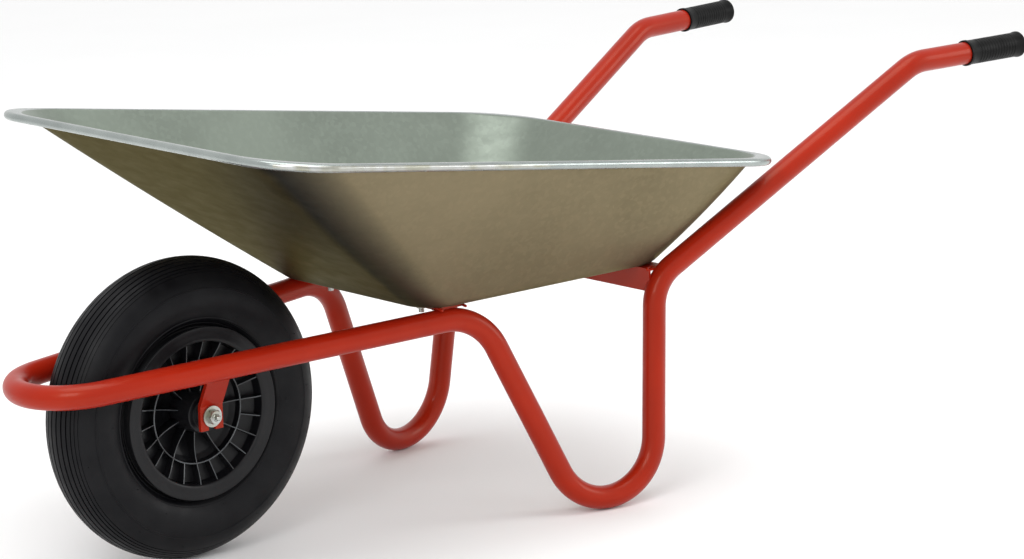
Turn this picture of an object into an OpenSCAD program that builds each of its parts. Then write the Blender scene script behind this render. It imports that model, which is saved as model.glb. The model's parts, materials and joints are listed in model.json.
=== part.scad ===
// A single-wheel garden wheelbarrow: one bent frame tube, a pressed steel tray and a pneumatic wheel.
// X runs forward to the wheel, Y to the left, Z up from the ground. X = 0 is the middle of the length.
// "Back" is a distance behind the wheel's axle, "h" is a height above the ground.

/* [Frame tube] */
// Outside diameter of the frame tube
tube_d = 32; // [28:1:34]
// Wall thickness of the frame tube
tube_wall = 1.5; // [1.2:0.1:2]
// Half the distance between the two sides, level with the axle
side_y = 106.6; // [104:0.1:112]
// Radius of the U-bend in front of the wheel
nose_r = 79.2; // [76:0.1:82]
// Height of the frame tube level with the axle
side_h = 272.1; // [268:0.1:276]
// Distance back to the bend where the front leg starts
front_bend_back = 367.9; // [360:0.1:375]
// Sideways place of that bend
front_bend_y = 168.2; // [166:0.1:172]
// Height of that bend
front_bend_h = 292.4; // [290:0.1:295]
// Radius of the front bend
front_bend_r = 80; // [70:1:90]
// Distance back to the point where the two legs would cross, under the ground
apex_back = 592.2; // [580:0.1:600]
// Sideways place of that point
apex_y = 255.8; // [245:0.1:262]
// Depth of that point under the ground
apex_depth = 211.5; // [200:0.1:220]
// Distance back to the bend where the handle starts
rear_bend_back = 641.2; // [635:0.1:648]
// Sideways place of that bend
rear_bend_y = 217.3; // [214:0.1:220]
// Height of that bend
rear_bend_h = 301.6; // [296:0.1:306]
// Radius of that bend
rear_bend_r = 66; // [56:1:76]
// Distance back to the bend before the grip
grip_bend_back = 1088.7; // [1075:0.1:1100]
// Sideways place of that bend
grip_bend_y = 286.2; // [280:0.1:292]
// Height of that bend
grip_bend_h = 561.8; // [550:0.1:570]
// Radius of that bend
grip_bend_r = 75; // [60:1:90]
// Distance back to the end of the tube
tube_end_back = 1286; // [1280:0.1:1300]
// Sideways place of the end of the tube
tube_end_y = 305; // [298:0.1:312]
// Height of the end of the tube
tube_end_h = 568.4; // [562:0.1:576]

/* [Grips] */
// Outside diameter of a grip
grip_d = 35.5; // [34:0.5:37]
// Length of a grip
grip_l = 105; // [95:1:120]
// Diameter of the lips at the ends of a grip
grip_lip_d = 37.5; // [37:0.5:40]
// Thickness of a grip's closed end
grip_end = 4; // [3:0.5:6]

/* [Tray] */
// Distance forward of the axle to the front of the rim
rim_front = 75; // [65:0.1:80]
// Half width of the rim at the front
rim_front_y = 345; // [335:0.5:350]
// Height of the rim at the front
rim_front_h = 563.7; // [555:0.1:570]
// Distance back to the rear of the rim
rim_back = 821; // [812:0.5:830]
// Half width of the rim at the rear
rim_rear_y = 313.5; // [305:0.5:320]
// Height of the rim at the rear
rim_rear_h = 454.8; // [448:0.1:462]
// Corner radius of the rolled edge
rim_corner_r = 80; // [70:1:90]
// Corner radius of the walls where they meet the rim's flange
wall_corner_r = 105; // [95:1:125]
// Width of the flange between the walls and the rolled edge, along the straight sides
flange_w = 6; // [4:0.5:9]
// Distance back to the front fold of the floor
floor_front_back = 277; // [272:0.5:286]
// Half width of the floor at the front
floor_front_y = 168; // [160:0.5:170]
// Distance back to the rear fold of the floor
floor_rear_back = 684; // [676:0.5:688]
// Half width of the floor at the rear
floor_rear_y = 200; // [192:0.5:202]
// Corner radius of the floor
floor_corner_r = 40; // [30:1:60]
// Radius of the fold between floor and walls
fold_r = 25; // [20:1:30]
// Sheet thickness of the tray
sheet = 1.2; // [1:0.1:1.6]
// Diameter of the rolled edge
bead_d = 11; // [10:0.5:12]
// Diameter of the wire inside the rolled edge
wire_d = 8; // [6:0.5:8]

/* [Cross members] */
// Width of the flat strap under the front of the tray
strap_w = 40; // [30:1:46]
// Thickness of that strap
strap_t = 4; // [3:0.5:4]
// Distance back to the middle of the strap
strap_back = 324; // [320:1:328]
// Height of the channel between the legs
channel_h = 32; // [30:1:40]
// Depth of the channel from front to rear
channel_w = 34; // [30:1:40]
// Sheet thickness of the channel
channel_t = 3; // [2.5:0.1:4]

/* [Wheel] */
// Outside diameter of the tyre, which also sets the height of the axle
tyre_d = 400; // [396:1:404]
// Width of the tyre
tyre_w = 98; // [96:1:104]
// Wall thickness of the tyre
tyre_wall = 6; // [5:0.5:7]
// Diameter of the rim's bead seats
seat_d = 203; // [200:1:206]
// Diameter of the rim's flanges
flange_d = 229; // [226:1:232]
// Wall thickness of the rim
rim_wall = 4; // [3.5:0.5:5]
// Outside diameter of the hub
hub_d = 50; // [46:1:56]
// Number of ribs in the rim
rib_count = 22; // [16:2:24]

/* [Axle] */
// Outside diameter of the axle sleeve
sleeve_d = 20; // [18:1:22]
// Radial clearance between the sleeve and a bush
running_gap = 0.075; // [0.03:0.005:0.09]
// Diameter of the axle bolt
bolt_d = 10; // [8:1:12]
// Distance from the wheel's middle to the inner face of a bracket
bracket_y = 62; // [60:0.5:62]
// Width of a bracket
bracket_w = 35; // [32:1:40]
// Thickness of a bracket
bracket_t = 5; // [4:0.5:6]
// Diameter of the axle washers
washer_d = 28; // [26:1:32]

/* [Hidden] */
$fn = 72;

eps = 1;
lap = 1.5;
bend_relief = 0.05;
tube_r = tube_d / 2;
axle_h = tyre_d / 2;

// Vectors and angles
function unit(v) = v / norm(v);
function flip(p) = [p.x, -p.y, p.z];
function turn(a, v, b) = acos(unit(v - a) * unit(b - v));
function bend_normal(a, v, b) = unit(cross(v - a, b - v));
function arc_centre(a, v, b, r) = v + unit(unit(a - v) + unit(b - v)) * r / cos(turn(a, v, b) / 2);

// A path is a list of corner points, each with a bend radius that is 0 at an open end
function at(list, i) = list[(i + len(list)) % len(list)];
function half_turn(p, i) = turn(at(p, i - 1), at(p, i), at(p, i + 1)) / 2;
function setback(p, r, i) = at(r, i) == 0 ? 0 : at(r, i) * tan(half_turn(p, i));

// Half the distance between the two sides of the frame, ahead of the front bend
function side(back) = side_y + (front_bend_y - side_y) * back / front_bend_back;

// The centreline's corner points on the left side, measured from the axle
tube_end = [-tube_end_back, tube_end_y, tube_end_h];
grip_bend = [-grip_bend_back, grip_bend_y, grip_bend_h];
rear_bend = [-rear_bend_back, rear_bend_y, rear_bend_h];
leg_apex = [-apex_back, apex_y, -apex_depth];
front_bend = [-front_bend_back, front_bend_y, front_bend_h];

// The two sides would meet ahead of the wheel, and the nose's bend cuts that corner off
side_slope = atan((front_bend_h - side_h) / front_bend_back);
meeting_x = side_y * front_bend_back / (front_bend_y - side_y);
meeting = [meeting_x, 0, side_h - meeting_x * tan(side_slope)];
nose_axis = unit([front_bend.x, 0, front_bend.z] - meeting);
half_angle = atan(front_bend_y / norm([front_bend.x, 0, front_bend.z] - meeting));
nose_centre = meeting + nose_axis * nose_r / sin(half_angle);

// The foot's bend radius is the one that sets the underside of the tube on the ground
leg_turn = turn(front_bend, leg_apex, rear_bend);
leg_rise = unit(unit(rear_bend - leg_apex) - unit(leg_apex - front_bend)).z / cos(leg_turn / 2);
leg_tilt = bend_normal(front_bend, leg_apex, rear_bend).z;
foot_r = (tube_r + apex_depth) / (leg_rise - sqrt(1 - pow(leg_tilt, 2)));

left_path = [tube_end, grip_bend, rear_bend, leg_apex, front_bend];
left_bends = [0, grip_bend_r, rear_bend_r, foot_r, front_bend_r];
last = len(left_path) - 1;
tube_path = concat(left_path, [meeting], [for (i = [last:-1:0]) flip(left_path[i])]);
tube_bends = concat(left_bends, [nose_r], [for (i = [last:-1:0]) left_bends[i]]);

// The whole length, from the grips' ends to the front of the nose, puts the middle at X = 0
grip_dir = unit(tube_end - grip_bend);
grip_lip_l = 5;
rear_reach = -(tube_end + grip_end * grip_dir).x + grip_lip_d / 2 * sqrt(1 - pow(grip_dir.x, 2));
front_reach = nose_centre.x + nose_r * cos(side_slope) + tube_r;
axle_x = (rear_reach - front_reach) / 2;

// The tray. The rim and the floor are two planes, each set by its front and rear edges.
wire_r = wire_d / 2;
lip_r = 3;
bead_r = bead_d / 2;

// The flange lies a little under the top of the rolled edge, and its parts lap into each other
flange_up = bead_r - 0.6;
flange_hold = 2;
wall_lap = 0.3;
hole_lap = sheet + 0.5;
rim_tilt = atan((rim_front_h - rim_rear_h) / (rim_front + rim_back));
tube_top_h = side_h + strap_back * tan(side_slope) + tube_r / cos(side_slope);
strap_notch = 1;
floor_h = tube_top_h + strap_t - strap_notch;
floor_tilt = 1.8;
function floor_z(back) = floor_h + (back - strap_back) * tan(floor_tilt);

rim_corners = [
    [rim_front - bead_r, rim_front_y - bead_r, rim_front_h],
    [-rim_back + bead_r, rim_rear_y - bead_r, rim_rear_h],
    [-rim_back + bead_r, -rim_rear_y + bead_r, rim_rear_h],
    [rim_front - bead_r, -rim_front_y + bead_r, rim_front_h]
];
rim_bends = [for (corner = rim_corners) rim_corner_r];
rim_middle = [(rim_front - rim_back) / 2, 0, (rim_front_h + rim_rear_h) / 2];

// The rolled edge's outline, and the walls' top outline inside it, in the plane of the rim
function in_rim_plane(p) = [(p.x - rim_middle.x) / cos(rim_tilt), p.y];
function shrink(p, d) = [sign(p.x) * (abs(p.x) - d), sign(p.y) * (abs(p.y) - d)];
edge_outline = [for (p = rim_corners) in_rim_plane(p)];
wall_outline = [for (p = edge_outline) shrink(p, flange_w)];

// The centre of the arc of radius r in corner i of a closed outline
function ring_centre(c, i, r) = arc_centre(at(c, i - 1), c[i], at(c, i + 1), r);

// How far inside a wall's fold line the fold's own centre lies, for a wall of that run and rise
function fold_in(run, rise) = fold_r * tan((90 - atan(run / rise)) / 2);
front_rise = rim_front_h - floor_z(floor_front_back);
rear_rise = rim_rear_h - floor_z(floor_rear_back);
fold_front = floor_front_back + fold_in(rim_front + floor_front_back, front_rise);
fold_rear = floor_rear_back - fold_in(rim_back - floor_rear_back, rear_rise);
fold_front_y = floor_front_y - fold_in(rim_front_y - floor_front_y, front_rise);
fold_rear_y = floor_rear_y - fold_in(rim_rear_y - floor_rear_y, rear_rise);
fold_outline = [
    [fold_front, fold_front_y],
    [fold_rear, fold_rear_y],
    [fold_rear, -fold_rear_y],
    [fold_front, -fold_front_y]
];

// Cross members and their bolts. The paint keeps the tray a hair off the cross members.
paint_gap = 0.05;
strap_end_y = side(strap_back) + 2;
channel_back = rear_bend_back - tube_r / 2;
channel_end_y = rear_bend_y - 2;
tray_bolt_d = 8;
tray_hole_d = 9;
tray_head_d = 20;
tray_washer_d = 18;
tray_washer_t = 1.6;
tray_nut_flats = 13;
tray_nut_t = 6.5;
tray_bolt_l = 18;
tray_head_h = 5;
tray_head_sphere_r = 12.5;
strap_bolt_y = 100;
channel_bolt_back = channel_back + channel_w / 2;
channel_bolt_y = 115;

// Each bolt's distance back, its place across, and the thickness under the tray that it goes through
bolt_places = [
    for (side = [1, -1])
        each [
            [strap_back, side * strap_bolt_y, strap_t + paint_gap],
            [channel_bolt_back, side * channel_bolt_y, channel_t + paint_gap]
        ]
];

// The wheel
tyre_r = tyre_d / 2;
seat_r = seat_d / 2;
flange_r = flange_d / 2;
section_r = (tyre_r - seat_r) / 2;
section_mid = (tyre_r + seat_r) / 2;
bead_y = 45;
bead_w = 11;
well_r = 86;
well_inner_r = well_r - rim_wall;
well_y = 20;
section_steps = 20;
oval_low = 52;
inner_oval_low = 50;
toe_rise = 0.9;
air_tube_wall = 2;
well_slope = 1;
seat_w = bead_w + 4;
web_t = 5;
rib_t = 3;
rib_y = 22;
collar_r = 70;

// The hub and the axle
sleeve_r = sleeve_d / 2;
bush_bore = sleeve_r + running_gap;
bush_r = 15;
hub_y = 51;
bush_flange_y = 55;
bush_flange_r = 19;
bush_l = 24;
side_play = 0.5;
spacer_r = 15;
washer_t = 2.5;
nut_flats = 17;
nut_t = 8;
bolt_end_y = 84;
bolt_point_d = 7;
bolt_point_l = 6;
slot_w = bolt_d + 0.6;
bracket_drop = 18;
bracket_top_y = 90;
bracket_top_h = 282;
joggle_top_h = 268;
joggle_low_h = 214;
joggle_bow = 2;
valve_rib = 12.5;
valve_angle = valve_rib * 360 / rib_count;
valve_y = 11;
valve_d = 8.6;
valve_room_d = 14;
valve_l = 24;
cap_l = 10;

red = [0.72, 0.1, 0.08];
zinc = [0.75, 0.76, 0.76];
galvanised = [0.66, 0.68, 0.64];
black = [0.1, 0.1, 0.1];
rubber = [0.06, 0.06, 0.06];
nylon = [0.85, 0.84, 0.8];

// Placing
module from_axle() {
    translate([axle_x, 0, 0])
        children();
}

module on_axle() {
    translate([axle_x, 0, axle_h])
        rotate([-90, 0, 0])
            children();
}

// Both ends of the axle: the right end is the left end turned half round
module both_ends() {
    children();
    rotate([180, 0, 0])
        children();
}

module basis(x, y, z, origin) {
    multmatrix([
        [x.x, y.x, z.x, origin.x],
        [x.y, y.y, z.y, origin.y],
        [x.z, y.z, z.z, origin.z],
        [0, 0, 0, 1]
    ])
        children();
}

// Round bar along a path. Each straight runs a little way into its bends, which are a hair
// thinner, so that the pieces join cleanly.
module straight(a, b, r) {
    z = unit(b - a);
    x = unit(cross([0, 0, 1], z));
    basis(x, cross(z, x), z, a)
        cylinder(r = r, h = norm(b - a));
}

module bend(a, v, b, bend_r, r) {
    n = bend_normal(a, v, b);
    d = unit(v - a);
    basis(cross(d, n), d, n, arc_centre(a, v, b, bend_r))
        rotate_extrude(angle = turn(a, v, b))
            translate([bend_r, 0])
                circle(r = r - bend_relief);
}

module bar(path, bends, r, over = 0) {
    closed = bends[0] > 0;
    for (i = [0:len(path) - (closed ? 1 : 2)]) {
        a = path[i];
        b = at(path, i + 1);
        from = at(bends, i) == 0 ? -over : setback(path, bends, i) - lap;
        to = at(bends, i + 1) == 0 ? -over : setback(path, bends, i + 1) - lap;
        straight(a + unit(b - a) * from, b - unit(b - a) * to, r);
    }
    for (i = [0:len(path) - 1])
        if (bends[i] > 0)
            bend(at(path, i - 1), path[i], at(path, i + 1), bends[i], r);
}

module frame_bar(r, over = 0) {
    bar(tube_path, tube_bends, r, over);
}

module rim_bar(r) {
    bar(rim_corners, rim_bends, r);
}

// The frame: one tube from the left grip round the nose to the right grip
module frame_tube() {
    color(red)
        from_axle()
            difference() {
                frame_bar(tube_r);
                frame_bar(tube_r - tube_wall, eps);
            }
}

// Places on the plane of the tray floor, with its slope
module on_floor(back, y) {
    translate([-back, y, floor_z(back)])
        rotate([0, floor_tilt, 0])
            children();
}

// Flat strap across the two sides, notched to sit on the tubes
module front_cross_strap() {
    color(red)
        from_axle()
            difference() {
                on_floor(strap_back, 0)
                    translate([-strap_w / 2, -strap_end_y, -strap_t - paint_gap])
                        cube([strap_w, 2 * strap_end_y, strap_t]);
                frame_bar(tube_r);
                tray_holes(strap_back);
            }
}

// Pressed channel across the tops of the rear legs, open to the rear
module rear_cross_member() {
    color(red)
        from_axle()
            difference() {
                on_floor(channel_back, 0)
                    translate([-channel_w, -channel_end_y, -channel_h - paint_gap])
                        difference() {
                            cube([channel_w, 2 * channel_end_y, channel_h]);
                            translate([-channel_t, -eps, channel_t])
                                cube([
                                    channel_w,
                                    2 * (channel_end_y + eps),
                                    channel_h - 2 * channel_t
                                ]);
                        }
                frame_bar(tube_r);
                tray_holes(channel_bolt_back);
            }
}

// One sheet-metal bracket, joggled in from the tube to the axle, with a slot that is open below
module bracket() {
    outline = [
        [bracket_y, axle_h - bracket_drop],
        [bracket_y + bracket_t, axle_h - bracket_drop],
        [bracket_y + bracket_t, joggle_low_h],
        [bracket_top_y + bracket_t, joggle_top_h],
        [bracket_top_y + bracket_t, bracket_top_h],
        [bracket_top_y, bracket_top_h],
        [bracket_top_y, joggle_top_h + joggle_bow],
        [bracket_y, joggle_low_h + joggle_bow]
    ];
    color(red)
        from_axle()
            difference() {
                translate([-bracket_w / 2, 0, 0])
                    rotate([90, 0, 90])
                        linear_extrude(bracket_w)
                            polygon(outline);
                frame_bar(tube_r);
                translate([0, 0, axle_h])
                    rotate([-90, 0, 0])
                        cylinder(d = slot_w, h = bracket_y + 2 * bracket_t);
                translate([-slot_w / 2, 0, axle_h - 2 * bracket_drop])
                    cube([slot_w, bracket_y + 2 * bracket_t, 2 * bracket_drop]);
            }
}

module axle_bracket_left() {
    bracket();
}

module axle_bracket_right() {
    mirror([0, 1, 0])
        bracket();
}

// A moulded sleeve with a closed end and a lip at each end
module grip() {
    n = grip_dir;
    x = unit(cross([0, 0, 1], n));
    mouth = tube_end - n * (grip_l - grip_end);
    color(black)
        from_axle()
            basis(x, cross(n, x), n, mouth)
                difference() {
                    union() {
                        cylinder(d = grip_d, h = grip_l);
                        cylinder(d = grip_lip_d, h = grip_lip_l);
                        translate([0, 0, grip_l - grip_lip_l])
                            cylinder(d = grip_lip_d, h = grip_lip_l);
                    }
                    translate([0, 0, -eps])
                        cylinder(r = tube_r, h = grip_l - grip_end + eps);
                }
}

module grip_left() {
    grip();
}

module grip_right() {
    mirror([0, 1, 0])
        grip();
}

module rim_plane(up) {
    translate(rim_middle)
        rotate([0, -rim_tilt, 0])
            translate([0, 0, up])
                children();
}

// A flat outline with a true arc in each corner
module rounded(c, r) {
    polygon([
        for (i = [0:len(c) - 1], next = [0, 1])
            let (to = at(c, next == 0 ? i - 1 : i + 1))
                c[i] + unit(to - c[i]) * r * tan(turn(at(c, i - 1), c[i], at(c, i + 1)) / 2)
    ]);
    for (i = [0:len(c) - 1])
        translate(ring_centre(c, i, r))
            circle(r = r);
}

// The tray's form: a hull over a ring in each corner of the rim and of the floor.
// Taking the same amount from both ring thicknesses moves every wall inward by that amount.
module corner_ring(ring_r, r) {
    rotate_extrude($fn = 40)
        translate([ring_r, 0])
            circle(r = r, $fn = 24);
}

module tray_form(inset) {
    hull()
        for (i = [0:3]) {
            top = ring_centre(wall_outline, i, wall_corner_r);
            low = ring_centre(fold_outline, i, floor_corner_r);
            rim_plane(flange_up)
                translate([top.x, top.y, 0])
                    corner_ring(wall_corner_r - lip_r, lip_r - inset);
            on_floor(low.x, low.y)
                translate([0, 0, fold_r])
                    corner_ring(floor_corner_r, fold_r - inset);
        }
}

module above_rim() {
    rim_plane(flange_up - wall_lap)
        translate([-rim_back, -rim_back, 0])
            cube([2 * rim_back, 2 * rim_back, fold_r]);
}

// Flat flange from the walls' top out to the rolled edge
module tray_flange() {
    rim_plane(flange_up - sheet)
        linear_extrude(sheet)
            difference() {
                rounded([for (p = edge_outline) shrink(p, flange_hold)], rim_corner_r - flange_hold);
                rounded([for (p = wall_outline) shrink(p, hole_lap)], wall_corner_r - hole_lap);
            }
}

module tray_holes(back) {
    for (place = bolt_places)
        if (place[0] == back)
            on_floor(place[0], place[1])
                cylinder(d = tray_hole_d, h = 2 * tray_bolt_l, center = true);
}

module tray() {
    color(galvanised)
        from_axle()
            difference() {
                union() {
                    difference() {
                        tray_form(0);
                        tray_form(sheet);
                        above_rim();
                    }
                    tray_flange();
                    rim_bar(bead_r);
                }
                rim_bar(wire_r);
                tray_holes(strap_back);
                tray_holes(channel_bolt_back);
            }
}

module tray_rim_wire() {
    color(zinc)
        from_axle()
            rim_bar(wire_r);
}

// Four bolts through the tray floor, each with a washer and a nut under its cross member
module tray_bolts() {
    color(zinc)
        from_axle()
            for (place = bolt_places)
                on_floor(place[0], place[1]) {
                    translate([0, 0, sheet])
                        intersection() {
                            cylinder(d = tray_head_d, h = tray_head_h);
                            translate([0, 0, tray_head_h - tray_head_sphere_r])
                                sphere(r = tray_head_sphere_r);
                        }
                    translate([0, 0, -tray_bolt_l])
                        cylinder(d = tray_bolt_d, h = tray_bolt_l + sheet + eps);
                }
}

module tray_washers() {
    color(zinc)
        from_axle()
            for (place = bolt_places)
                on_floor(place[0], place[1])
                    translate([0, 0, -place[2] - tray_washer_t])
                        difference() {
                            cylinder(d = tray_washer_d, h = tray_washer_t);
                            translate([0, 0, -eps])
                                cylinder(d = tray_bolt_d, h = tray_washer_t + 2 * eps);
                        }
}

module tray_nuts() {
    color(zinc)
        from_axle()
            for (place = bolt_places)
                on_floor(place[0], place[1])
                    translate([0, 0, -place[2] - tray_washer_t - tray_nut_t])
                        difference() {
                            cylinder(d = tray_nut_flats / cos(30), h = tray_nut_t, $fn = 6);
                            translate([0, 0, -eps])
                                cylinder(d = tray_bolt_d, h = tray_nut_t + 2 * eps);
                        }
}

// The axle: a sleeve clamped between the brackets by one long bolt
module ring(outer_r, inner_r, from, to) {
    translate([0, 0, from])
        difference() {
            cylinder(r = outer_r, h = to - from);
            translate([0, 0, -eps])
                cylinder(r = inner_r, h = to - from + 2 * eps);
        }
}

module axle_sleeve() {
    color(zinc)
        on_axle()
            ring(sleeve_r, bolt_d / 2, -bracket_y, bracket_y);
}

// One long bolt through the sleeve, with a plain thinner point at its free end
module axle_bolt() {
    seat = bracket_y + bracket_t + washer_t;
    color(zinc)
        on_axle() {
            translate([0, 0, -seat])
                cylinder(d = bolt_d, h = seat + bolt_end_y - bolt_point_l);
            cylinder(d = bolt_point_d, h = bolt_end_y);
            translate([0, 0, -seat - nut_t])
                cylinder(d = nut_flats / cos(30), h = nut_t, $fn = 6);
        }
}

module axle_washers() {
    color(zinc)
        on_axle()
            both_ends()
                ring(washer_d / 2, bolt_d / 2, bracket_y + bracket_t, bracket_y + bracket_t + washer_t);
}

module axle_nut() {
    seat = bracket_y + bracket_t + washer_t;
    color(zinc)
        on_axle()
            translate([0, 0, seat])
                difference() {
                    cylinder(d = nut_flats / cos(30), h = nut_t, $fn = 6);
                    translate([0, 0, -eps])
                        cylinder(d = bolt_d, h = nut_t + 2 * eps);
                }
}

module axle_spacer() {
    ring(spacer_r, sleeve_r, bush_flange_y + side_play, bracket_y);
}

module axle_spacer_left() {
    color(nylon)
        on_axle()
            axle_spacer();
}

module axle_spacer_right() {
    color(nylon)
        on_axle()
            rotate([180, 0, 0])
                axle_spacer();
}

// The wheel's section, with the radius along X and the distance from its middle along Y
module rim_section() {
    half = [
        [well_r, well_y],
        [seat_r, bead_y - seat_w],
        [seat_r, bead_y],
        [flange_r, bead_y + 1],
        [flange_r, bead_y + rim_wall]
    ];
    inner_half = [
        [seat_r - rim_wall, bead_y + rim_wall],
        [seat_r - rim_wall, bead_y - bead_w],
        [well_inner_r, well_y - well_slope]
    ];
    outer = concat(
        [for (i = [len(half) - 1:-1:0]) [half[i].x, -half[i].y]],
        half
    );
    inner = concat(
        inner_half,
        [for (i = [len(inner_half) - 1:-1:0]) [inner_half[i].x, -inner_half[i].y]]
    );
    polygon(concat(outer, inner));
}

module rim() {
    color(black)
        on_axle()
            difference() {
                rotate_extrude()
                    rim_section();
                valve_place()
                    cylinder(d = valve_d, h = rim_wall * 6, center = true);
            }
}

// The middle of the rim: a web, a collar and the ribs, which fill the space from hub to well
module rim_centre() {
    color(black)
        on_axle()
            difference() {
                union() {
                    ring(well_inner_r, hub_d / 2, -web_t / 2, web_t / 2);
                    ring(collar_r, collar_r - rib_t, -rib_y, rib_y);
                    intersection() {
                        ring(well_inner_r, hub_d / 2, -rib_y, rib_y);
                        for (i = [0:rib_count - 1])
                            rotate(i * 360 / rib_count)
                                translate([0, -rib_t / 2, -rib_y])
                                    cube([well_r, rib_t, 2 * rib_y]);
                    }
                }
                valve_place()
                    cylinder(d = valve_room_d, h = 2 * valve_l, center = true);
            }
}

module wheel_hub() {
    color(black)
        on_axle()
            ring(hub_d / 2, bush_r, -hub_y, hub_y);
}

module hub_bush() {
    color(nylon)
        on_axle() {
            ring(bush_r, bush_bore, bush_flange_y - bush_l, bush_flange_y);
            ring(bush_flange_r, bush_bore, hub_y, bush_flange_y);
        }
}

module hub_bush_left() {
    hub_bush();
}

module hub_bush_right() {
    mirror([0, 1, 0])
        hub_bush();
}

// The tyre's oval section over the crown from one side to the other, smaller by inset all round
function oval(inset, low) = [
    for (i = [0:section_steps])
        let (angle = -low + (180 + 2 * low) * i / section_steps)
            [section_mid + (section_r - inset) * sin(angle), (tyre_w / 2 - inset) * cos(angle)]
];

module tyre() {
    outer = oval(0, oval_low);
    inner = oval(tyre_wall, inner_oval_low);
    toe_y = bead_y - bead_w;
    color(rubber)
        on_axle()
            rotate_extrude()
                polygon(concat(
                    [[seat_r, toe_y], [seat_r, bead_y], [flange_r - 1, bead_y + toe_rise]],
                    outer,
                    [[flange_r - 1, -bead_y - toe_rise], [seat_r, -bead_y], [seat_r, -toe_y]],
                    [for (i = [section_steps:-1:0]) inner[i]]
                ));
}

// A closed air tube that fills the space between tyre and rim
module inner_tube() {
    color(rubber)
        on_axle()
            rotate_extrude()
                difference() {
                    polygon(oval(tyre_wall, inner_oval_low));
                    offset(delta = -air_tube_wall)
                        polygon(oval(tyre_wall, inner_oval_low));
                }
}

module valve_place() {
    rotate(valve_angle)
        translate([well_inner_r, 0, valve_y])
            rotate([0, -90, 0])
                children();
}

module valve_stem() {
    color(rubber)
        on_axle()
            valve_place()
                translate([0, 0, -rim_wall])
                    cylinder(d = valve_d, h = valve_l);
}

module valve_cap() {
    color(black)
        on_axle()
            valve_place()
                translate([0, 0, valve_l - rim_wall])
                    cylinder(d = valve_d + 1, h = cap_l);
}

frame_tube();
front_cross_strap();
rear_cross_member();
axle_bracket_left();
axle_bracket_right();
grip_left();
grip_right();
tray();
tray_rim_wire();
tray_bolts();
tray_washers();
tray_nuts();
axle_sleeve();
axle_bolt();
axle_washers();
axle_nut();
axle_spacer_left();
axle_spacer_right();
rim();
rim_centre();
wheel_hub();
hub_bush_left();
hub_bush_right();
tyre();
inner_tube();
valve_stem();
valve_cap();
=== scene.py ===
"""A garden wheelbarrow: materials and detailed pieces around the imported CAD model."""
import json
from math import asin, atan2, cos, hypot, pi, radians, sin, sqrt, tan

import bmesh
import bpy
from mathutils import Matrix, Vector, noise


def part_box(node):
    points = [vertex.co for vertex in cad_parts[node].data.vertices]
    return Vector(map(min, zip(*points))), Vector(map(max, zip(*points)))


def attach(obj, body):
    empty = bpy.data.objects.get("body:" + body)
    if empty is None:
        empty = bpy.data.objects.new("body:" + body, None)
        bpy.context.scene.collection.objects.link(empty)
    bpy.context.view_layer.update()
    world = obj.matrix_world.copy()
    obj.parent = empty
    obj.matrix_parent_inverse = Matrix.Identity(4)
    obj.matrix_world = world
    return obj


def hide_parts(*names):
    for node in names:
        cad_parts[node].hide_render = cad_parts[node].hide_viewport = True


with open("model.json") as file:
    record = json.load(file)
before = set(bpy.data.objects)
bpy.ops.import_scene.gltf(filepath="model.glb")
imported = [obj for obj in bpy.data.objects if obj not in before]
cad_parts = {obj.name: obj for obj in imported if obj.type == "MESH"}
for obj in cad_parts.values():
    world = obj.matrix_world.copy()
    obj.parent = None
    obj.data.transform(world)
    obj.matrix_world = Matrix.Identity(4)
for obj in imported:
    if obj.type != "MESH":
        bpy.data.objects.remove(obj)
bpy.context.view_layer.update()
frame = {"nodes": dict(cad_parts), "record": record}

MM = 0.001


# ---------------------------------------------------------------- places that come from the frame
def joint_place(name):
    for joint in frame["record"]["behaviour"]["joints"]:
        if joint["name"] == name:
            return Vector(joint["pos_m"])
    raise ValueError(name)


AXLE = joint_place("wheel_spin")
tyre_low, tyre_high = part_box("tyre")
TYRE_R = (tyre_high[2] - tyre_low[2]) / 2
TYRE_HALF = (tyre_high[1] - tyre_low[1]) / 2
rim_low, rim_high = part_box("rim")
FLANGE_R = (rim_high[2] - rim_low[2]) / 2
HUB_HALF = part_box("wheel_hub")[1][1]
HUB_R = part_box("wheel_hub")[1][2] - AXLE.z
BUSH_R = 15 * MM
SEAT_R = 101.5 * MM
SEAT_Y = 45 * MM


# ---------------------------------------------------------------- mesh helpers
def add_object(name, verts, faces, materials, face_slots=None):
    mesh = bpy.data.meshes.new(name)
    mesh.from_pydata([tuple(v) for v in verts], [], faces)
    for material in materials:
        mesh.materials.append(material)
    if face_slots:
        mesh.polygons.foreach_set("material_index", face_slots)
    work = bmesh.new()
    work.from_mesh(mesh)
    bmesh.ops.recalc_face_normals(work, faces=work.faces)
    work.to_mesh(mesh)
    work.free()
    mesh.polygons.foreach_set("use_smooth", [True] * len(mesh.polygons))
    piece = bpy.data.objects.new(name, mesh)
    bpy.context.scene.collection.objects.link(piece)
    return piece


def sharpen(piece, angle=35):
    """Keeps edges crisp where faces meet at more than the angle, in degrees."""
    piece.data.set_sharp_from_angle(angle=radians(angle))


class Shape:
    """Collects vertices and faces, so that one piece can be built from many parts."""

    def __init__(self):
        self.verts = []
        self.faces = []
        self.slots = []

    def add(self, verts, faces, slot=0):
        start = len(self.verts)
        self.verts += [Vector(v) for v in verts]
        for face in faces:
            self.faces.append([start + i for i in face])
            self.slots.append(slot)

    def build(self, name, materials):
        return add_object(name, self.verts, self.faces, materials, self.slots)


def grid_faces(rows, columns, wrap_rows=False):
    """Quads over rows of points. Each row is a ring with the same number of columns."""
    faces = []
    for i in range(rows if wrap_rows else rows - 1):
        for j in range(columns):
            a = i * columns + j
            b = i * columns + (j + 1) % columns
            c = ((i + 1) % rows) * columns + (j + 1) % columns
            d = ((i + 1) % rows) * columns + j
            faces.append([a, b, c, d])
    return faces


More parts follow.
